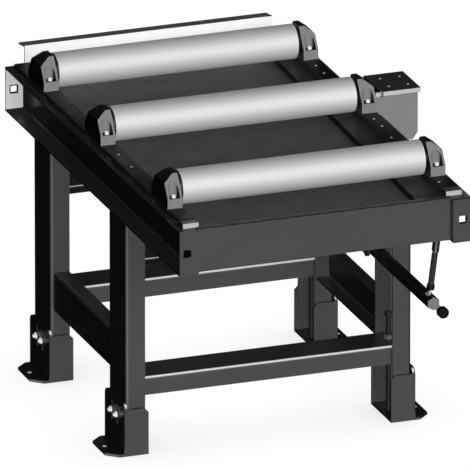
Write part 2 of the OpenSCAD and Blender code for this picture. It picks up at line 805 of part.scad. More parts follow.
module strut_bracket() {
    cheek_x = strut_eye_t / 2 + cheek_gap;
    back_y = front_y + apron_setback + apron_t;
    color([0.2, 0.2, 0.2]) {
        for (side = [left, right]) {
            translate([strut_top[0], 0, 0]) on_side(side) {
                translate([cheek_x, back_y, strut_top[2] - cheek_r])
                    cube([cheek_t, strut_top[1] - back_y, 2 * cheek_r]);
                translate([cheek_x, strut_top[1], strut_top[2]]) rotate([0, 90, 0])
                    cylinder(h = cheek_t, r = cheek_r);
            }
            along_strut() on_side(side) translate([cheek_x, -cheek_r, -cheek_l])
                cube([cheek_t, 2 * cheek_r, cheek_l - strut_eye_r]);
        }
        translate([strut_top[0] - cheek_x - overrun, strut_top[1], strut_top[2]])
            rotate([0, 90, 0]) cylinder(h = 2 * (cheek_x + overrun), d = strut_pin_d);
    }
}

module knob_arm() {
    arm_l = norm([knob_off_x, knob_off_z]);
    turn = -atan2(knob_off_z, knob_off_x);
    back_y = front_y + lever_front + knob_arm_setback + knob_arm_t;
    color([0.12, 0.12, 0.12]) translate([lever_x, back_y, lever_z]) rotate([90, 0, 0])
        linear_extrude(knob_arm_t) difference() {
            union() {
                rotate(turn) translate([0, -knob_arm_r]) square([arm_l, 2 * knob_arm_r]);
                translate([knob_off_x, -knob_off_z]) circle(knob_arm_r);
            }
            rotate(30) circle(d = hex_af * hex_side_ratio + fit_gap, $fn = 6);
            translate([knob_off_x, -knob_off_z]) circle(d = knob_stud_d + 2 * fit_gap);
        }
}

module knob() {
    arm_y = front_y + lever_front + knob_arm_setback;
    grip_d = knob_d - 2 * knob_round;
    color([0.05, 0.05, 0.05])
        translate([lever_x + knob_off_x, arm_y - seat_gap, lever_z - knob_off_z])
            rotate([90, 0, 0]) {
                translate([0, 0, -knob_arm_t - 2 * seat_gap])
                    cylinder(h = knob_arm_t + 2 * seat_gap + overrun, d = knob_stud_d);
                difference() {
                    rotate_extrude() {
                        square([grip_d / 2, knob_l]);
                        translate([0, knob_round]) square([knob_d / 2, knob_l - 2 * knob_round]);
                        for (z = [knob_round, knob_l - knob_round])
                            translate([grip_d / 2, z]) circle(knob_round);
                    }
                    for (i = [0 : knob_groove_count - 1])
                        rotate([0, 0, i * 360 / knob_groove_count])
                            translate([knob_d / 2 + knob_groove_d / 4, 0, -overrun])
                                cylinder(h = knob_l + 2 * overrun, d = knob_groove_d);
                }
            }
}

side_rail(left);  // left_rail
side_rail(right);  // right_rail
apron();
drip_tray();
tray_ledge();
rear_plate();
bracket_bar(left, left_holes);  // left_bracket_bar
bracket_bar(right, right_holes);  // right_bracket_bar
cover_strips(left, left_holes);  // left_cover_strips
cover_strips(right, right_holes);  // right_cover_strips
roller_tube(roller_ys[0]);  // front_roller_tube
roller_tube(roller_ys[1]);  // middle_roller_tube
roller_tube(roller_ys[2]);  // rear_roller_tube
roller_caps(roller_ys[0]);  // front_roller_caps
roller_caps(roller_ys[1]);  // middle_roller_caps
roller_caps(roller_ys[2]);  // rear_roller_caps
roller_bearings(roller_ys[0]);  // front_roller_bearings
roller_bearings(roller_ys[1]);  // middle_roller_bearings
roller_bearings(roller_ys[2]);  // rear_roller_bearings
roller_axle(roller_ys[0]);  // front_roller_axle
roller_axle(roller_ys[1]);  // middle_roller_axle
roller_axle(roller_ys[2]);  // rear_roller_axle
bracket(left, roller_ys[0]);  // front_left_bracket
bracket(right, roller_ys[0]);  // front_right_bracket
bracket(left, roller_ys[1]);  // middle_left_bracket
bracket(right, roller_ys[1]);  // middle_right_bracket
bracket(left, roller_ys[2]);  // rear_left_bracket
bracket(right, roller_ys[2]);  // rear_right_bracket
bracket_bolts();
leg(left, front_leg_y);  // front_left_leg
leg(right, front_leg_y);  // front_right_leg
leg(left, rear_leg_y);  // rear_left_leg
leg(right, rear_leg_y);  // rear_right_leg
upper_channel(front_leg_y);  // front_upper_channel
upper_channel(rear_leg_y);  // rear_upper_channel
cross_stretcher(front_leg_y, front_stretcher_z);  // front_stretcher
cross_stretcher(rear_leg_y, rear_stretcher_z);  // rear_stretcher
side_stretcher(left);  // left_stretcher
side_stretcher(right);  // right_stretcher
foot(left, front_leg_y);  // front_left_foot
foot(right, front_leg_y);  // front_right_foot
foot(left, rear_leg_y);  // rear_left_foot
foot(right, rear_leg_y);  // rear_right_foot
levelling_screw(left, front_leg_y, front_stretcher_z);  // front_left_screw
levelling_screw(right, front_leg_y, front_stretcher_z);  // front_right_screw
levelling_screw(left, rear_leg_y, rear_stretcher_z);  // rear_left_screw
levelling_screw(right, rear_leg_y, rear_stretcher_z);  // rear_right_screw
levelling_nuts();
foot_bolts();
console();
lever_bar();
lever_hanger();
lever_pin();
strut_cylinder();
strut_rod();
strut_bracket();
knob_arm();
knob();
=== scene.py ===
"""Looks of the roller stand: finishes, fine details, floor, lights and camera."""

import json
import math

import bmesh
import bpy
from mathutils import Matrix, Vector


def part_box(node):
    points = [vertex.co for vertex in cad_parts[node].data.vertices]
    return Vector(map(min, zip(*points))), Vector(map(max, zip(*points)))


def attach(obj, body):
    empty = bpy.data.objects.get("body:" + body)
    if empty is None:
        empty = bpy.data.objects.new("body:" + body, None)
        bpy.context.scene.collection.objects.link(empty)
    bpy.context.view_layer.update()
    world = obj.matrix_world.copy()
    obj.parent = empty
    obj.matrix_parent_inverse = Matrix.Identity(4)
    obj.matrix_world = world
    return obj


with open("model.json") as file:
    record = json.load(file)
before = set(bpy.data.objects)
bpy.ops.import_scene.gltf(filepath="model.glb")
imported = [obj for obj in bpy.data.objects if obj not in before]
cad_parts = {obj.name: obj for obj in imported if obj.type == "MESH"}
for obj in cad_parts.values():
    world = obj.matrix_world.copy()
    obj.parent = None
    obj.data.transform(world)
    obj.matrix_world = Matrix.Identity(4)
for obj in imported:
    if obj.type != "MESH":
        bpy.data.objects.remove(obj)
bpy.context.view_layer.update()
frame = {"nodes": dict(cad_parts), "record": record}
record = frame["record"]

MM = 0.001

# View, as measured on the photograph
AZIMUTH = -19.94
ELEVATION = 20.02
AIM = (0.0303, -0.003, 0.3755)
LENS = 1650.0
SENSOR = 36.0
VIEW_W = 1.0615  # width of the view at the aim point

# Boxes and outer faces of the pieces that finishes and small pieces refer to
RAIL_LOW, RAIL_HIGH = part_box("right_rail")
BAR_LOW, BAR_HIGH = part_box("right_bracket_bar")
LEG_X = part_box("front_right_leg")[1][0]
APRON_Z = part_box("apron")[1][2]
CONSOLE_LOW, CONSOLE_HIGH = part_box("console")
CYLINDER_LOW, CYLINDER_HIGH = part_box("strut_cylinder")
STRIP_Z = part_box("right_cover_strips")[1][2]

# Painted regions: how far they take to fade in, and where they begin, from the faces of their pieces
BLEND = 0.4 * MM
PLATE_T = 6 * MM
FLANGE_ZONE = 15 * MM
END_SHADE_START = 122 * MM
END_SHADE_STOP = 32 * MM
RIM_SIDE_W = 4.7 * MM
RIM_TOP_H = 4.5 * MM
RIM_CORNER = 8.3 * MM
APRON_LINE_H = 4.2 * MM
FOOT_WALL_GAP = 5.4 * MM
NUT_GAP = 9.2 * MM
FOOT_BEND_Z = 100 * MM
FOOT_SLOT_Z = 20 * MM
LIP_H = 10 * MM
LIP_L = 1.5 * MM
STRUT_NECK_L = 56 * MM
STRUT_COLLAR_L = 12 * MM

# Square holes in the ends of the rails, and the dark sleeves of painted shade behind them
SQUARE_HOLE_INSET = 18 * MM
SQUARE_HOLE_HALF = 9.45 * MM
SLEEVE_T = 0.2 * MM
SLEEVE_L = 12 * MM

# Round holes: radii of their bare walls, and how deep the walls go
HOLE_R = 3.48 * MM
HOLE_INNER_R = 3.1 * MM
ANCHOR_R = 5.48 * MM
ANCHOR_INNER_R = 5.1 * MM
STRIP_HOLE_L = 11.6 * MM
CONSOLE_HOLE_L = 5 * MM
ANCHOR_HOLE_L = 5.6 * MM
SET_BACK = 0.2 * MM

# Lone holes of the right strips: start and length of the strip, share along it, and share of the
# bar's width inwards
LONE_HOLES = (
    (-634 * MM, 74 * MM, 0.5, 0.32),
    (-448 * MM, 332 * MM, 0.49, 0.27),
    (378 * MM, 91 * MM, 0.5, 0.1),
)

# Radii of the weld beads, and how far they stop short of a corner
LEG_BEAD_R = 2.6 * MM
STRETCHER_BEAD_R = 2.4 * MM
BAR_BEAD_R = 2.2 * MM
BEAD_END = 9 * MM
STITCH_COUNT = 8
STITCH_L = 30 * MM
STITCH_START = 40 * MM
STITCH_STOP = 70 * MM


def grey(level):
    return (level, level, level)


def direction(azimuth, elevation):
    """The unit vector that points from the object to a place at that azimuth and elevation."""
    a, e = math.radians(azimuth), math.radians(elevation)
    return Vector((math.sin(a) * math.cos(e), -math.cos(a) * math.cos(e), math.sin(e)))


def make_camera():
    data = bpy.data.cameras.new("camera")
    camera = bpy.data.objects.new("camera", data)
    bpy.context.scene.collection.objects.link(camera)
    back = direction(AZIMUTH, ELEVATION)
    distance = VIEW_W * LENS / SENSOR
    data.lens = LENS
    data.sensor_width = SENSOR
    data.clip_start = distance * 0.5
    data.clip_end = distance * 2
    camera.location = Vector(AIM) + back * distance
    camera.rotation_mode = "QUATERNION"
    camera.rotation_quaternion = (-back).to_track_quat("-Z", "Y")
    bpy.context.scene.camera = camera


def make_sun(name, azimuth, elevation, share, spread, shadow=True):
    """A soft lamp that lights a face turned towards it at that share of its colour."""
    data = bpy.data.lights.new(name, "SUN")
    data.use_shadow = shadow
    data.energy = math.pi * share
    data.angle = math.radians(spread)
    lamp = bpy.data.objects.new(name, data)
    bpy.context.scene.collection.objects.link(lamp)
    lamp.rotation_mode = "QUATERNION"
    lamp.rotation_quaternion = direction(azimuth, elevation).to_track_quat("Z", "Y")
    lamp.location = direction(azimuth, elevation) * 4
    return lamp


def light_only(lamp, names):
    """Lets a lamp light only those nodes."""
    group = bpy.data.collections.new(f"lit by {lamp.name}")
    for name in names:
        group.objects.link(frame["nodes"][name])
    lamp.light_linking.receiver_collection = group


def seen_directly(nodes):
    """A socket that is 1 for camera, glossy and transmission rays and 0 for the rest."""
    path = nodes.new("ShaderNodeLightPath")
    links = nodes.id_data.links
    both = nodes.new("ShaderNodeMath")
    both.operation = "MAXIMUM"
    links.new(path.outputs["Is Camera Ray"], both.inputs[0])
    links.new(path.outputs["Is Glossy Ray"], both.inputs[1])
    all_three = nodes.new("ShaderNodeMath")
    all_three.operation = "MAXIMUM"
    links.new(both.outputs[0], all_three.inputs[0])
    links.new(path.outputs["Is Transmission Ray"], all_three.inputs[1])
    return all_three.outputs[0]


def make_world(ambient):
    world = bpy.data.worlds.new("studio")
    world.use_nodes = True
    nodes, links = world.node_tree.nodes, world.node_tree.links
    nodes.clear()
    dim = nodes.new("ShaderNodeBackground")
    dim.inputs["Color"].default_value = (1, 1, 1, 1)
    dim.inputs["Strength"].default_value = ambient
    white = nodes.new("ShaderNodeBackground")
    white.inputs["Color"].default_value = (1, 1, 1, 1)
    white.inputs["Strength"].default_value = 1.0
    mix = nodes.new("ShaderNodeMixShader")
    out = nodes.new("ShaderNodeOutputWorld")
    links.new(seen_directly(nodes), mix.inputs[0])
    links.new(dim.outputs[0], mix.inputs[1])
    links.new(white.outputs[0], mix.inputs[2])
    links.new(mix.outputs[0], out.inputs[0])
    bpy.context.scene.world = world


def make_floor(size, tone, glow, painted_contact_shadow):
    """A white floor that glows where the camera sees it, with a painted contact shadow that darkens the
    glow close under the object.
    """
    mesh = bpy.data.meshes.new("floor")
    half = size / 2
    corners = [(-half, -half, 0), (half, -half, 0), (half, half, 0), (-half, half, 0)]
    mesh.from_pydata(corners, [], [(0, 1, 2, 3)])
    floor = bpy.data.objects.new("floor", mesh)
    bpy.context.scene.collection.objects.link(floor)
    floor.visible_glossy = False
    material = bpy.data.materials.new("floor")
    material.use_nodes = True
    nodes, links = material.node_tree.nodes, material.node_tree.links
    nodes.clear()
    matt = nodes.new("ShaderNodeBsdfDiffuse")
    matt.inputs["Color"].default_value = (tone, tone, tone, 1)
    # Painted contact shadow: the glow drops where occlusion is near
    near = nodes.new("ShaderNodeAmbientOcclusion")
    near.inputs["Distance"].default_value = 0.25
    near.samples = 8
    level = nodes.new("ShaderNodeMapRange")
    level.inputs["To Min"].default_value = glow * (1 - painted_contact_shadow)
    level.inputs["To Max"].default_value = glow
    links.new(near.outputs["AO"], level.inputs["Value"])
    seen = nodes.new("ShaderNodeMath")
    seen.operation = "MULTIPLY"
    links.new(seen_directly(nodes), seen.inputs[0])
    links.new(level.outputs["Result"], seen.inputs[1])
    light = nodes.new("ShaderNodeEmission")
    links.new(seen.outputs[0], light.inputs["Strength"])
    add = nodes.new("ShaderNodeAddShader")
    out = nodes.new("ShaderNodeOutputMaterial")
    links.new(matt.outputs[0], add.inputs[0])
    links.new(light.outputs[0], add.inputs[1])
    links.new(add.outputs[0], out.inputs[0])
    mesh.materials.append(material)


def make_surround(radius, bright, dark):
    """A studio tent that only reflections see: pale in front, dark behind, at the sides and above."""
    mesh = bpy.data.meshes.new("surround")
    shell = bmesh.new()
    bmesh.ops.create_icosphere(shell, subdivisions=4, radius=radius)
    shell.to_mesh(mesh)
    shell.free()
    tent = bpy.data.objects.new("surround", mesh)
    bpy.context.scene.collection.objects.link(tent)
    material = bpy.data.materials.new("surround")
    material.use_nodes = True
    nodes, links = material.node_tree.nodes, material.node_tree.links
    nodes.clear()
    place = nodes.new("ShaderNodeTexCoord")
    split = nodes.new("ShaderNodeSeparateXYZ")
    links.new(place.outputs["Object"], split.inputs[0])
    level = nodes.new("ShaderNodeMapRange")
    level.interpolation_type = "SMOOTHSTEP"
    level.inputs["From Min"].default_value = -0.25 * radius
    level.inputs["From Max"].default_value = -0.85 * radius
    level.inputs["To Min"].default_value = dark
    level.inputs["To Max"].default_value = bright
    links.new(split.outputs["Y"], level.inputs["Value"])
    light = nodes.new("ShaderNodeEmission")
    links.new(level.outputs["Result"], light.inputs["Strength"])
    out = nodes.new("ShaderNodeOutputMaterial")
    links.new(light.outputs[0], out.inputs[0])
    mesh.materials.append(material)
    tent.visible_camera = False
    tent.visible_diffuse = False
    tent.visible_transmission = False
    tent.visible_shadow = False


class Finish:
    """A Principled material built up from steps, in the space of the part itself."""

    def __init__(self, name, color, roughness, metallic=0.0, specular=0.5):
        self.material = bpy.data.materials.new(name)
        self.material.use_nodes = True
        self.nodes = self.material.node_tree.nodes
        self.links = self.material.node_tree.links
        self.shader = self.nodes["Principled BSDF"]
        self.shader.inputs["Metallic"].default_value = metallic
        self.shader.inputs["Specular IOR Level"].default_value = specular
        self.shader.inputs["Roughness"].default_value = roughness
        self.shader.inputs["Base Color"].default_value = (*color, 1)
        self.color = self.rgb(color)
        self.place = self.nodes.new("ShaderNodeTexCoord").outputs["Object"]
        self.normal = None

    def rgb(self, color):
        node = self.nodes.new("ShaderNodeRGB")
        node.outputs[0].default_value = (*color, 1)
        return node.outputs[0]

    def noise(self, size, detail=3.0, stretch=(1, 1, 1)):
        """Noise whose blots are about that many metres across."""
        mapping = self.nodes.new("ShaderNodeMapping")
        mapping.inputs["Scale"].default_value = stretch
        self.links.new(self.place, mapping.inputs["Vector"])
        node = self.nodes.new("ShaderNodeTexNoise")
        node.inputs["Scale"].default_value = 1 / size
        node.inputs["Detail"].default_value = detail
        self.links.new(mapping.outputs[0], node.inputs["Vector"])
        return node.outputs["Fac"]

    def remap(self, value, low, high, to_low, to_high):
        node = self.nodes.new("ShaderNodeMapRange")
        node.inputs["From Min"].default_value = low
        node.inputs["From Max"].default_value = high
        node.inputs["To Min"].default_value = to_low
        node.inputs["To Max"].default_value = to_high
        self.links.new(value, node.inputs["Value"])
        return node.outputs["Result"]

    def math(self, operation, a, b):
        node = self.nodes.new("ShaderNodeMath")
        node.operation = operation
        for socket, value in zip(node.inputs, (a, b)):
            if isinstance(value, (int, float)):
                socket.default_value = value
            else:
                self.links.new(value, socket)
        return node.outputs[0]

    def mix(self, mask, color):
        """Lays a colour over the present one where the mask is 1."""
        node = self.nodes.new("ShaderNodeMix")
        node.data_type = "RGBA"
        self.links.new(mask, node.inputs["Factor"])
        self.links.new(self.color, node.inputs["A"])
        self.links.new(self.rgb(color) if isinstance(color, tuple) else color, node.inputs["B"])
        self.color = node.outputs["Result"]
        self.links.new(self.color, self.shader.inputs["Base Color"])

    def mottle(self, size, share, detail=3.0, stretch=(1, 1, 1)):
        """Varies the brightness of the colour by up to that share."""
        level = self.remap(self.noise(size, detail, stretch), 0.3, 0.7, 1 - share, 1 + share)
        node = self.nodes.new("ShaderNodeVectorMath")
        node.operation = "SCALE"
        self.links.new(self.color, node.inputs[0])
        self.links.new(level, node.inputs["Scale"])
        self.color = node.outputs[0]
        self.links.new(self.color, self.shader.inputs["Base Color"])

    def rough(self, size, low, high, detail=3.0, stretch=(1, 1, 1)):
        level = self.remap(self.noise(size, detail, stretch), 0.3, 0.7, low, high)
        self.links.new(level, self.shader.inputs["Roughness"])
        self.roughness = level

    def bump(self, size, depth, detail=2.0, stretch=(1, 1, 1)):
        """Raises a fine relief, that many metres deep."""
        node = self.nodes.new("ShaderNodeBump")
        node.inputs["Distance"].default_value = depth
        self.links.new(self.noise(size, detail, stretch), node.inputs["Height"])
        if self.normal is not None:
            self.links.new(self.normal, node.inputs["Normal"])
        self.normal = node.outputs[0]
        self.links.new(self.normal, self.shader.inputs["Normal"])

    def edge_mask(self, radius, low, high):
        """1 at convex and concave edges, where a rounded normal departs from the true one."""
        bevel = self.nodes.new("ShaderNodeBevel")
        bevel.samples = 6
        bevel.inputs["Radius"].default_value = radius
        geometry = self.nodes.new("ShaderNodeNewGeometry")
        dot = self.nodes.new("ShaderNodeVectorMath")
        dot.operation = "DOT_PRODUCT"
        self.links.new(bevel.outputs[0], dot.inputs[0])
        self.links.new(geometry.outputs["Normal"], dot.inputs[1])
        return self.remap(dot.outputs["Value"], low, high, 1.0, 0.0)

    def facing(self, axis, low, high):
        """1 where the surface faces along that direction, in the part's own space."""
        normal = self.nodes.new("ShaderNodeTexCoord").outputs["Normal"]
        dot = self.nodes.new("ShaderNodeVectorMath")
        dot.operation = "DOT_PRODUCT"
        self.links.new(normal, dot.inputs[0])
        dot.inputs[1].default_value = axis
        return self.remap(dot.outputs["Value"], low, high, 0.0, 1.0)

    def beyond(self, axis, low, high):
        """1 past a plane across that axis, in the part's own space."""
        dot = self.nodes.new("ShaderNodeVectorMath")
        dot.operation = "DOT_PRODUCT"
        self.links.new(self.place, dot.inputs[0])
        dot.inputs[1].default_value = axis
        return self.remap(dot.outputs["Value"], low, high, 0.0, 1.0)

    def either_way(self, axis, low, high):
        """1 where the surface faces along that direction or against it."""
        against = tuple(-value for value in axis)
        return self.math("MAXIMUM", self.facing(axis, low, high), self.facing(against, low, high))

    def outside(self, x):
        """1 further out than x on either side of the part."""
        right = self.beyond((1, 0, 0), x, x + 0.5 * BLEND)
        left = self.beyond((-1, 0, 0), x, x + 0.5 * BLEND)
        return self.math("MAXIMUM", right, left)

    def both(self, first, second):
        """1 where both masks are 1."""
        return self.math("MULTIPLY", first, second)

    def dull(self, mask):
        """Takes the gloss away where the mask is 1."""
        self.links.new(self.math("MAXIMUM", self.roughness, mask), self.shader.inputs["Roughness"])

    def thread(self, pitch, depth):
        """Rings around Z, as of a screw thread."""
        wave = self.nodes.new("ShaderNodeTexWave")
        wave.bands_direction = "Z"
        wave.inputs["Scale"].default_value = math.pi / (10 * pitch)
        self.links.new(self.place, wave.inputs["Vector"])
        node = self.nodes.new("ShaderNodeBump")
        node.inputs["Distance"].default_value = depth
        self.links.new(wave.outputs["Fac"], node.inputs["Height"])
        self.normal = node.outputs[0]
        self.links.new(self.normal, self.shader.inputs["Normal"])

    def wear(self, radius, color, share):
        """Rubs the edges to another colour in patches."""
        edge = self.edge_mask(radius, 0.80, 0.995)
        patches = self.remap(self.noise(0.012, 5.0), 0.45, 0.62, 0.0, share)
        self.mix(self.both(edge, patches), color)


def coat(name, top=0.022, highlights_above=0.0):
    """The frame's black coat, with painted shade on top faces, a painted highlight where a bend faces up
    and forwards, a fainter painted highlight on bends between left and front faces, and a painted shade
    line on bends between right and front faces.
    """
    finish = Finish(name, grey(0.055), 0.34, specular=0.4)
    # Painted shade: top faces darker than the fronts
    finish.mix(finish.facing((0, 0, 1), 0.85, 0.97), grey(top))
    # Painted highlight on bends that face up and forwards
    bend_highlight = finish.both(finish.facing((0, 0, 1), 0.35, 0.6), finish.facing((0, -1, 0), 0.4, 0.6))
    if highlights_above > 0:
        bend_highlight = finish.both(bend_highlight, finish.beyond((0, 0, 1), highlights_above, highlights_above + BLEND))
    finish.mix(bend_highlight, grey(0.8))
    # Fainter painted highlight on bends between left and front faces
    left_bend_highlight = finish.both(finish.facing((-1, 0, 0), 0.3, 0.5), finish.facing((0, -1, 0), 0.3, 0.5))
    finish.mix(left_bend_highlight, grey(0.16))
    # Painted shade line on bends between right and front faces
    right_bend_shade = finish.both(finish.facing((1, 0, 0), 0.3, 0.5), finish.facing((0, -1, 0), 0.05, 0.15))
    finish.mix(right_bend_shade, grey(0.006))
    return finish


def finish_coat(finish):
    """Gives a coat its mottling, its gloss, its rubbed edges and its fine relief."""
    finish.mottle(0.15, 0.05)
    finish.rough(0.03, 0.30, 0.38)
    finish.wear(0.8 * MM, grey(0.30), 0.5)
    finish.bump(0.0016, 0.00003)
    return finish.material


def black_paint():
    return finish_coat(coat("black_paint"))


def foot_paint():
    """Coat of the feet, with painted shade making the faces inside the slots of their outer walls black."""
    # Painted shade on top faces is darker here, and the painted bend highlight only starts above
    # FOOT_BEND_Z
    finish = coat("foot_paint", top=0.009, highlights_above=FOOT_BEND_Z)
    # Painted shade: front faces inside the slots of the outer walls turned black
    wall = finish.both(finish.outside(LEG_X + FOOT_WALL_GAP),
                       finish.beyond((0, 0, 1), FOOT_SLOT_Z, FOOT_SLOT_Z + BLEND))
    finish.mix(finish.both(wall, finish.facing((0, -1, 0), 0.3, 0.5)), grey(0.008))
    return finish_coat(finish)


def apron_paint():
    """Coat of the apron, with a painted shade line along its top edge."""
    finish = coat("apron_paint")
    # Painted shade: a black line along the apron's top edge
    shade_line_z = APRON_Z - APRON_LINE_H
    finish.mix(finish.beyond((0, 0, 1), shade_line_z, shade_line_z + BLEND), grey(0.004))
    return finish_coat(finish)


def upper_paint():
    """Coat of the upper channels, whose fronts are painted black as shadow."""
    finish = coat("upper_paint")
    # Painted shadow: the front faces turned black
    front = finish.facing((0, -1, 0), 0.9, 0.97)
    finish.mix(front, grey(0.004))
    material = finish_coat(finish)
    finish.dull(front)
    return material


def rail_paint():
    """Coat of the rails: a painted highlight along the outer edge of the right one's top, painted shade
    inside both towards their rear ends, pale insides of the rear end plates, and a painted shade line round
    the right one's front end.
    """
    finish = coat("rail_paint")
    # Painted highlight: a pale band along the outer edge of the right rail's top
    outer_x = BAR_HIGH[0] + BLEND
    strip = finish.both(finish.facing((0, 0, 1), 0.9, 0.97),
                        finish.beyond((1, 0, 0), outer_x, outer_x + BLEND))
    finish.mix(strip, grey(0.14))
    # Painted shade: webs and lower faces inside the rails darken towards the rear end plates
    painted_end_shade = finish.math("MAXIMUM", finish.either_way((1, 0, 0), 0.5, 0.8), finish.facing((0, 0, 1), 0.5, 0.8))
    flange_z = RAIL_HIGH[2] - FLANGE_ZONE
    painted_end_shade = finish.both(painted_end_shade, finish.beyond((0, 0, -1), -flange_z - BLEND, -flange_z))
    shade = finish.beyond((0, 1, 0), RAIL_HIGH[1] - END_SHADE_START, RAIL_HIGH[1] - END_SHADE_STOP)
    painted_end_shade = finish.both(painted_end_shade, shade)
    finish.mix(painted_end_shade, grey(0.008))
    plate_y = RAIL_HIGH[1] - PLATE_T
    plate = finish.both(finish.facing((0, -1, 0), 0.9, 0.97),
                        finish.beyond((0, 1, 0), plate_y, plate_y + BLEND))
    finish.mix(plate, grey(0.72))
    # Painted shade line along the left and top edges of the right rail's front end
    finish.mix(rail_rim_shade(finish), grey(0.004))
    material = finish_coat(finish)
    finish.dull(painted_end_shade)
    return material


def rail_rim_shade(finish):
    """1 along the left and top edges of the right rail's front end, round their corner: the band of a
    painted shade line.
    """
    side_x = RAIL_LOW[0] + RIM_SIDE_W
    top_z = RAIL_HIGH[2] - RIM_TOP_H
    side = finish.beyond((-1, 0, 0), -side_x - BLEND, -side_x)
    rim = finish.math("MAXIMUM", side, finish.beyond((0, 0, 1), top_z, top_z + BLEND))
    slope = math.sqrt(0.5)
    corner = slope * (RAIL_HIGH[2] - RAIL_LOW[0]) - RIM_CORNER
    rim = finish.math("MAXIMUM", rim, finish.beyond((-slope, 0, slope), corner, corner + BLEND))
    rim = finish.both(rim, finish.beyond((1, 0, 0), 0.0, BLEND))
    front = -RAIL_LOW[1] - BLEND
    return finish.both(rim, finish.beyond((0, -1, 0), front, front + 0.5 * BLEND))


def dark_paint():
    finish = Finish("dark_paint", grey(0.02), 0.4, specular=0.3)
    finish.mottle(0.05, 0.08)
    finish.rough(0.02, 0.36, 0.46)
    finish.bump(0.0014, 0.00003)
    return finish.material


def bar_paint():
    finish = Finish("bar_paint", grey(0.065), 0.4, specular=0.3)
    finish.mix(finish.facing((0, -1, 0), 0.5, 0.8), grey(0.5))
    finish.mottle(0.1, 0.05)
    finish.rough(0.03, 0.32, 0.40)
    finish.bump(0.0016, 0.00003)
    return finish.material


def bracket_paint():
    """Grey front and rear faces, with painted shade that makes the tops and sides black."""
    # Painted shade: every face but the front and rear ones stays black
    finish = Finish("bracket_paint", grey(0.012), 0.45, specular=0.2)
    finish.mix(finish.either_way((0, 1, 0), 0.5, 0.7), grey(0.22))
    finish.mottle(0.03, 0.05)
    finish.rough(0.02, 0.36, 0.48)
    finish.bump(0.0012, 0.00004)
    return finish.material


def console_paint():
    """Grey gusset, pale front edges, and a top and sides painted black as shade."""
    # Painted shade: every face but the front and rear ones stays black
    finish = Finish("console_paint", grey(0.03), 0.42, specular=0.3)
    finish.mix(finish.either_way((0, 1, 0), 0.5, 0.7), grey(0.22))
    lip_z = CONSOLE_HIGH[2] - LIP_H
    lip_y = -CONSOLE_LOW[1] - LIP_L
    edge = finish.both(finish.facing((0, -1, 0), 0.5, 0.7), finish.beyond((0, 0, 1), lip_z, lip_z + BLEND))
    finish.mix(finish.both(edge, finish.beyond((0, -1, 0), lip_y, lip_y + BLEND)), grey(0.54))
    finish.mottle(0.05, 0.04)
    finish.rough(0.02, 0.38, 0.48)
    finish.bump(0.0012, 0.00004)
    return finish.material


def tray_paint():
    finish = Finish("tray_paint", (0.050, 0.048, 0.045), 0.55, specular=0.2)
    # Painted shade: faces turned to the left are darker
    finish.mix(finish.facing((-1, 0, 0), 0.5, 0.8), grey(0.01))
    finish.mottle(0.12, 0.06)
    finish.rough(0.05, 0.42, 0.55)
    finish.bump(0.002, 0.00004)
    return finish.material


def ledge_paint():
    finish = Finish("ledge_paint", (0.018, 0.0167, 0.0149), 0.55, specular=0.2)
    finish.mottle(0.08, 0.06)
    finish.rough(0.05, 0.42, 0.55)
    finish.bump(0.002, 0.00004)
    return finish.material


def strip_paint():
    finish = Finish("strip_paint", grey(0.007), 0.5, specular=0.2)
    finish.mottle(0.05, 0.08)
    finish.rough(0.03, 0.4, 0.52)
    finish.bump(0.001, 0.00004)
    return finish.material


def pale_sheet():
    finish = Finish("pale_sheet", (0.93, 0.93, 0.925), 0.4, specular=0.3)
    # Painted shade: faces turned upwards, the top flange, darker than the front
    finish.mix(finish.facing((0, 0, 1), 0.7, 0.9), grey(0.12))
    finish.mottle(0.08, 0.02, stretch=(0.2, 1, 1))
    finish.rough(0.02, 0.35, 0.45, stretch=(0.1, 1, 1))
    finish.bump(0.001, 0.00002, stretch=(0.05, 1, 1))
    return finish.material


def roller_steel():
    finish = Finish("roller_steel", (0.71, 0.71, 0.707), 0.77, metallic=0.7)
    finish.mottle(0.08, 0.012, stretch=(0.3, 1, 1))
    finish.rough(0.01, 0.74, 0.80, stretch=(6, 1, 1))
    return finish.material


def bare_steel():
    finish = Finish("bare_steel", grey(0.75), 0.3, metallic=0.4)
    finish.mottle(0.02, 0.04)
    finish.rough(0.006, 0.26, 0.36)
    finish.bump(0.0006, 0.00002)
    return finish.material


def zinc():
    finish = Finish("zinc", (0.95, 0.95, 0.945), 0.3, specular=0.8)
    finish.mottle(0.01, 0.04)
    finish.rough(0.004, 0.24, 0.36)
    finish.bump(0.0008, 0.00002)
    return finish.material


def foot_zinc():
    """Bright nuts and bolt ends; the washers behind them are dull."""
    finish = Finish("foot_zinc", (0.95, 0.95, 0.945), 0.3, specular=0.8)
    inner = finish.math("SUBTRACT", 1.0, finish.outside(LEG_X + NUT_GAP))
    finish.mix(inner, grey(0.02))
    finish.mottle(0.01, 0.04)
    finish.rough(0.004, 0.24, 0.36)
    finish.bump(0.0008, 0.00002)
    return finish.material


def dull_nut():
    finish = Finish("dull_nut", grey(0.14), 0.4, specular=0.4)
    finish.mottle(0.01, 0.08)
    finish.rough(0.004, 0.36, 0.46)
    finish.bump(0.0008, 0.00002)
    return finish.material


def bright_bore():
    """Bare metal of a drilled wall."""
    finish = Finish("bright_bore", grey(0.4), 0.35, specular=0.5)
    finish.mottle(0.004, 0.05)
    return finish.material


def black_steel():
    finish = Finish("black_steel", grey(0.011), 0.4, specular=0.25)
    finish.mix(finish.facing((0, -1, 0), 0.8, 0.95), grey(0.2))
    finish.mottle(0.03, 0.05)
    finish.rough(0.01, 0.32, 0.40)
    finish.bump(0.001, 0.00003)
    return finish.material


def screw_steel():
    finish = Finish("screw_steel", grey(0.03), 0.35, specular=0.3)
    finish.mottle(0.02, 0.08)
    finish.rough(0.01, 0.25, 0.36)
    finish.thread(1.75 * MM, 0.5 * MM)
    return finish.material


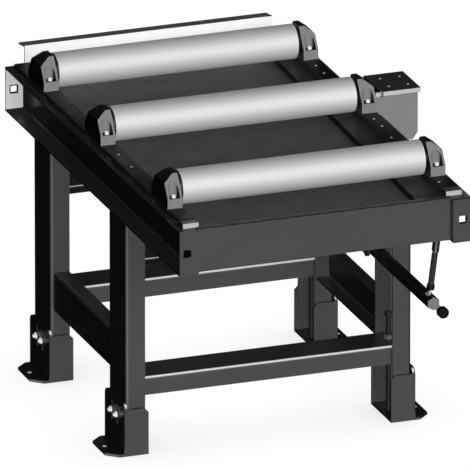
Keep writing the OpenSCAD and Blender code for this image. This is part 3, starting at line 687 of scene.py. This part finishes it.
def weld_metal():
    finish = Finish("weld_metal", grey(0.06), 0.4, specular=0.4)
    finish.mottle(0.01, 0.1)
    finish.bump(0.0015, 0.0001)
    return finish.material


# Near-black, for the sleeves of painted shade inside the square holes
def painted_shade_bore():
    finish = Finish("painted_shade_bore", grey(0.004), 0.6, specular=0.1)
    finish.mottle(0.01, 0.1)
    return finish.material


def strut_black():
    finish = Finish("strut_black", (0.03, 0.03, 0.031), 0.3, specular=0.3)
    neck_z = CYLINDER_HIGH[2] - STRUT_NECK_L
    collar_z = CYLINDER_LOW[2] + STRUT_COLLAR_L
    finish.mix(finish.beyond((0, 0, 1), neck_z, neck_z + BLEND), grey(0.25))
    finish.mix(finish.beyond((0, 0, -1), -collar_z - BLEND, -collar_z), grey(0.004))
    finish.mottle(0.03, 0.06)
    finish.rough(0.01, 0.2, 0.3)
    finish.bump(0.002, 0.00002)
    return finish.material


def black_plastic():
    finish = Finish("black_plastic", grey(0.006), 0.6, specular=0.05)
    finish.mottle(0.01, 0.1)
    finish.rough(0.005, 0.35, 0.5)
    finish.bump(0.0007, 0.00004)
    return finish.material


FINISHES = {
    "black_paint": black_paint(),
    "foot_paint": foot_paint(),
    "upper_paint": upper_paint(),
    "apron_paint": apron_paint(),
    "rail_paint": rail_paint(),
    "dark_paint": dark_paint(),
    "bar_paint": bar_paint(),
    "bracket_paint": bracket_paint(),
    "console_paint": console_paint(),
    "tray_paint": tray_paint(),
    "ledge_paint": ledge_paint(),
    "strip_paint": strip_paint(),
    "pale_sheet": pale_sheet(),
    "roller_steel": roller_steel(),
    "bare_steel": bare_steel(),
    "zinc": zinc(),
    "foot_zinc": foot_zinc(),
    "dull_nut": dull_nut(),
    "bright_bore": bright_bore(),
    "painted_shade_bore": painted_shade_bore(),
    "weld_metal": weld_metal(),
    "screw_steel": screw_steel(),
    "black_steel": black_steel(),
    "strut_black": strut_black(),
    "black_plastic": black_plastic(),
}


# Nodes that differ from the finish of their slot
OWN_FINISH = {"console": "console_paint", "tray_ledge": "ledge_paint", "left_rail": "rail_paint",
              "right_rail": "rail_paint", "left_bracket_bar": "bar_paint", "right_bracket_bar": "bar_paint",
              "strut_bracket": "dark_paint", "lever_hanger": "dark_paint", "lever_pin": "dark_paint",
              "levelling_nuts": "dull_nut", "foot_bolts": "foot_zinc",
              "apron": "apron_paint", "front_upper_channel": "upper_paint",
              "rear_upper_channel": "upper_paint"}
for place in ("front", "middle", "rear"):
    OWN_FINISH[f"{place}_roller_caps"] = "dark_paint"
for place in ("front_left", "front_right", "rear_left", "rear_right"):
    OWN_FINISH[f"{place}_screw"] = "screw_steel"
    OWN_FINISH[f"{place}_foot"] = "foot_paint"


def dress_nodes():
    """Gives each CAD node its finish, from its slot in the record unless it has its own."""
    slots = {row["node"]: row["material_slot"] for row in record["subparts"]}
    for name, node in frame["nodes"].items():
        node.data.materials.clear()
        node.data.materials.append(FINISHES[OWN_FINISH.get(name, slots[name])])


def add_piece(name, shape, finish, body="frame"):
    """Turns a bmesh into a piece that moves with that body."""
    for face in shape.faces:
        face.smooth = True
    mesh = bpy.data.meshes.new(name)
    shape.to_mesh(mesh)
    shape.free()
    piece = bpy.data.objects.new(name, mesh)
    bpy.context.scene.collection.objects.link(piece)
    mesh.materials.append(FINISHES[finish])
    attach(piece, body)


def add_tube(shape, center, axis, length, outer, inner, sides=32, phase=0.0):
    """A tube in the bmesh, from the centre of its first end along the axis."""
    axis = Vector(axis)
    turn = axis.to_track_quat("Z", "Y")
    start = Vector(center)
    rings = []
    for along, radius in ((0, inner), (0, outer), (length, outer), (length, inner)):
        ring = []
        for i in range(sides):
            a = 2 * math.pi * i / sides + phase
            offset = turn @ Vector((radius * math.cos(a), radius * math.sin(a), 0))
            ring.append(shape.verts.new(start + axis * along + offset))
        rings.append(ring)
    for first, second in zip(rings, rings[1:] + rings[:1]):
        for i in range(sides):
            j = (i + 1) % sides
            shape.faces.new((first[i], first[j], second[j], second[i]))


def add_bead(shape, start, end, radius, ripple=2.2 * MM, sides=8):
    """A rippled weld bead in the bmesh, round a corner line."""
    start, end = Vector(start), Vector(end)
    run = end - start
    turn = run.to_track_quat("Z", "Y")
    steps = max(6, int(3 * run.length / ripple))
    previous = None
    for k in range(steps + 1):
        share = k / steps
        taper = min(1.0, 0.3 + 6 * min(share, 1 - share))
        swell = 1 + 0.09 * math.sin(2 * math.pi * k / 3)
        ring = []
        for i in range(sides):
            a = 2 * math.pi * i / sides
            offset = turn @ Vector((math.cos(a), math.sin(a), 0))
            ring.append(shape.verts.new(start + run * share + offset * radius * swell * taper))
        if previous is None:
            shape.faces.new(ring[::-1])
        else:
            for i in range(sides):
                j = (i + 1) % sides
                shape.faces.new((previous[i], previous[j], ring[j], ring[i]))
        previous = ring
    shape.faces.new(previous)


def add_welds():
    """Beads on top of the legs and round the side stretchers, and stitches along the bars."""
    shape = bmesh.new()
    for side in (-1, 1):
        name = "left" if side < 0 else "right"
        for end in ("front", "rear"):
            add_leg_welds(shape, side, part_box(f"{end}_{name}_leg"))
        low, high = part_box(f"{name}_stretcher")
        inner, outer = sorted((abs(low[0]), abs(high[0])))
        for y in (low[1], high[1]):
            foot, top = (side * outer, y, low[2] + BEAD_END), (side * outer, y, high[2] - BEAD_END)
            add_bead(shape, foot, top, STRETCHER_BEAD_R)
            start, stop = (side * (inner + 3 * MM), y, high[2]), (side * (outer - 8 * MM), y, high[2])
            add_bead(shape, start, stop, STRETCHER_BEAD_R)
        low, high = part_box(f"{name}_bracket_bar")
        outer = max(abs(low[0]), abs(high[0]))
        pitch = (high[1] - low[1] - STITCH_START - STITCH_STOP) / (STITCH_COUNT - 1)
        for k in range(STITCH_COUNT):
            y = low[1] + STITCH_START + k * pitch
            add_bead(shape, (side * outer, y, low[2]), (side * outer, y + STITCH_L, low[2]), BAR_BEAD_R)
    add_piece("weld_beads", shape, "weld_metal")


def add_leg_welds(shape, side, box):
    low, high = box
    inner, outer = sorted((abs(low[0]), abs(high[0])))
    for y in (low[1], high[1]):
        start, stop = (side * (inner + 6 * MM), y, high[2]), (side * (outer - BEAD_END), y, high[2])
        add_bead(shape, start, stop, LEG_BEAD_R)
    start, stop = (side * outer, low[1] + BEAD_END, high[2]), (side * outer, high[1] - BEAD_END, high[2])
    add_bead(shape, start, stop, LEG_BEAD_R)


def add_liners():
    """Walls of the drilled holes, bare and bright, and dark sleeves of painted shade inside the square
    ones.
    """
    mounts = {row["name"]: row for row in record["mounts"]}
    add_hole_walls(mounts)
    add_shade_sleeves()
    add_anchor_walls(mounts["floor_anchors"])


def add_hole_walls(mounts):
    places = []
    for name in ("left_bar_holes", "right_bar_holes_1", "right_bar_holes_2"):
        x, y = mounts[name]["pos_m"][:2]
        half = mounts[name]["dims"]["spacing_y_mm"] * MM / 2
        places += [(x, y - half), (x, y + half)]
    bar_w = BAR_HIGH[0] - BAR_LOW[0]
    for start, length, along, inwards in LONE_HOLES:
        places.append(((BAR_LOW[0] + BAR_HIGH[0]) / 2 - inwards * bar_w, start + along * length))
    shape = bmesh.new()
    for x, y in places:
        bottom = (x, y, STRIP_Z - STRIP_HOLE_L)
        add_tube(shape, bottom, (0, 0, 1), STRIP_HOLE_L, HOLE_R, HOLE_INNER_R)
    row = mounts["console_holes"]
    x, y, z = row["pos_m"]
    half_x = row["dims"]["spacing_x_mm"] * MM / 2
    half_y = row["dims"]["spacing_y_mm"] * MM / 2
    for dx in (-half_x, half_x):
        for dy in (-half_y, half_y):
            bottom = (x + dx, y + dy, z - CONSOLE_HOLE_L)
            add_tube(shape, bottom, (0, 0, 1), CONSOLE_HOLE_L, HOLE_R, HOLE_INNER_R)
    add_piece("hole_walls", shape, "bright_bore")


def add_shade_sleeves():
    # Dark sleeves of painted shade just inside the square holes at both rail ends
    shape = bmesh.new()
    hole_x = RAIL_HIGH[0] - SQUARE_HOLE_INSET
    middle_z = (RAIL_LOW[2] + RAIL_HIGH[2]) / 2
    corner = SQUARE_HOLE_HALF * math.sqrt(2)
    inner_corner = (SQUARE_HOLE_HALF - SLEEVE_T) * math.sqrt(2)
    for x in (-hole_x, hole_x):
        for y in (RAIL_LOW[1] + SET_BACK, RAIL_HIGH[1] - SET_BACK - SLEEVE_L):
            place = (x, y, middle_z)
            add_tube(shape, place, (0, 1, 0), SLEEVE_L, corner, inner_corner, 4, math.pi / 4)
    add_piece("square_hole_shade", shape, "painted_shade_bore")


def add_anchor_walls(row):
    half_x = row["dims"]["spacing_x_mm"] * MM / 2
    half_y = row["dims"]["spacing_y_mm"] * MM / 2
    for side, x in (("left", -half_x), ("right", half_x)):
        for end, y in (("front", -half_y), ("rear", half_y)):
            shape = bmesh.new()
            add_tube(shape, (x, y, SET_BACK), (0, 0, 1), ANCHOR_HOLE_L, ANCHOR_R, ANCHOR_INNER_R)
            add_piece(f"{end}_{side}_anchor_wall", shape, "bright_bore", body=f"{end}_{side}_foot")


dress_nodes()
add_welds()
add_liners()
make_camera()
bpy.context.scene.view_settings.view_transform = "Standard"
make_world(0.006)
make_sun("key", azimuth=-1, elevation=20, share=0.28, spread=12)
make_sun("fill", azimuth=-1, elevation=20, share=0.72, spread=3, shadow=False)
make_sun("top", azimuth=0, elevation=80, share=0.02, spread=60)
rear = make_sun("rear", azimuth=165, elevation=12, share=0.35, spread=30)
rear.visible_glossy = False
behind = make_sun("behind", azimuth=160, elevation=-22, share=0.5, spread=4, shadow=False)
light_only(behind, ("front_roller_tube", "middle_roller_tube", "rear_roller_tube"))
make_floor(size=24, tone=0.12, glow=0.97, painted_contact_shadow=0.3)
make_surround(radius=7, bright=0.5, dark=0.005)
